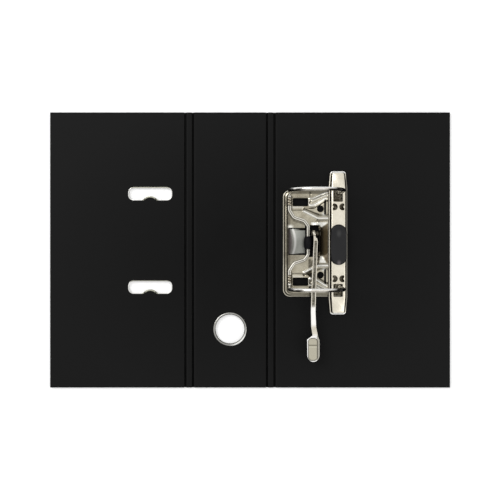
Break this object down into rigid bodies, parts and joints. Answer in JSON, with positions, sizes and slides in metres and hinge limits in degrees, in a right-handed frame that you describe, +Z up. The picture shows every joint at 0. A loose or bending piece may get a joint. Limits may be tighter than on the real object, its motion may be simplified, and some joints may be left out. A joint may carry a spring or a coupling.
{
  "type": "lever arch file",
  "caption": "Lever arch file lying open: folding board covers with locking slots, finger ring, and a lever mechanism that opens the arches.",
  "frame": {"origin": "middle of the spine's outer face, on the surface that the open file lies on", "axes": "+X across the covers from the front cover to the rear cover, +Y along the spine towards the file's top, +Z up from the outer face to the inner face"},
  "size_m": [0.343, 0.236, 0.0725],
  "materials": {
    "board": "solid greyboard, paper fibre",
    "covering": "black embossed covering, fine leather grain",
    "lining": "black lining with a fine embossed grain",
    "ring_metal": "plated, polished",
    "rim_metal": "plated, polished",
    "plate_nickel": "nickel plated, bright, slightly warm",
    "post_nickel": "nickel plated, bright, slightly warm",
    "wire_nickel": "nickel plated, bright, slightly warm",
    "lever_nickel": "nickel plated, bright, slightly warm",
    "bar_nickel": "nickel plated, satin",
    "rivet_black": "black, semi-gloss",
    "spring_steel": "grey spring steel, brushed",
    "roller_plastic": "black acetal, smooth",
    "grip_plastic": "black moulded, satin"
  },
  "bodies": {
    "rear_cover": {"rear_board": "board", "rear_covering": "covering", "rear_lining": "lining", "base_plate": "plate_nickel", "post_upper": "post_nickel", "post_lower": "post_nickel", "mounting_rivets": "rivet_black", "lever_rivet": "lever_nickel"},
    "rear_hinge": {"rear_hinge_board": "board", "rear_hinge_covering": "covering", "rear_hinge_lining": "lining"},
    "spine": {"spine_board": "board", "spine_covering": "covering", "spine_lining": "lining", "finger_ring": "ring_metal", "finger_ring_washer": "ring_metal"},
    "front_hinge": {"front_hinge_board": "board", "front_hinge_covering": "covering", "front_hinge_lining": "lining"},
    "front_cover": {"front_board": "board", "front_covering": "covering", "front_lining": "lining", "slot_eyelet_upper": "rim_metal", "slot_eyelet_lower": "rim_metal"},
    "arches": {"arch_wire": "wire_nickel"},
    "roller": {"crank_roller": "roller_plastic"},
    "lever": {"lever": "lever_nickel"},
    "leaf": {"leaf_spring": "spring_steel"},
    "bar": {"compressor_bar": "bar_nickel", "bar_grip": "grip_plastic"}
  },
  "joints": [
    {"name": "rear_fold", "type": "hinge", "parent": "rear_cover", "child": "rear_hinge", "pos_m": [0.03825, 0, 0.0006], "axis": [0, 1, 0], "range_deg": [0, 45]},
    {"name": "rear_fold_spine", "type": "hinge", "parent": "rear_hinge", "child": "spine", "pos_m": [0.03175, 0, 0.0006], "axis": [0, 1, 0], "range_deg": [0, 45]},
    {"name": "front_fold", "type": "hinge", "parent": "spine", "child": "front_hinge", "pos_m": [-0.03175, 0, 0.0006], "axis": [0, 1, 0], "range_deg": [0, 45]},
    {"name": "front_fold_cover", "type": "hinge", "parent": "front_hinge", "child": "front_cover", "pos_m": [-0.03825, 0, 0.0006], "axis": [0, 1, 0], "range_deg": [0, 45]},
    {"name": "lever_turn", "type": "hinge", "parent": "rear_cover", "child": "lever", "pos_m": [0.0725, 0.0138, 0.01316], "axis": [1, 0, 0], "range_deg": [-90, 0]},
    {"name": "arch_turn", "type": "hinge", "parent": "rear_cover", "child": "arches", "pos_m": [0.0508, 0.0082, 0.0086], "axis": [0, 1, 0], "range_deg": [-60, 0]},
    {"name": "leaf_flex", "type": "hinge", "parent": "rear_cover", "child": "leaf", "pos_m": [0.0504, 0.0073, 0.0037], "axis": [0, 1, 0], "range_deg": [-10, 0]},
    {"name": "roller_spin", "type": "hinge", "parent": "arches", "child": "roller", "pos_m": [0.0668, 0.0062, 0.0086], "axis": [0, 1, 0], "continuous": true},
    {"name": "bar_slide", "type": "slide", "parent": "rear_cover", "child": "bar", "axis": [0, 0, -1], "range_m": [-0.036, 0]}
  ],
  "couplings": [
    {"joint": "rear_fold_spine", "follows": "rear_fold", "ratio": 1},
    {"joint": "front_fold_cover", "follows": "front_fold", "ratio": 1},
    {"joint": "arch_turn", "follows": "lever_turn", "ratio": 0.6666},
    {"joint": "leaf_flex", "follows": "lever_turn", "ratio": 0.1111}
  ]
}
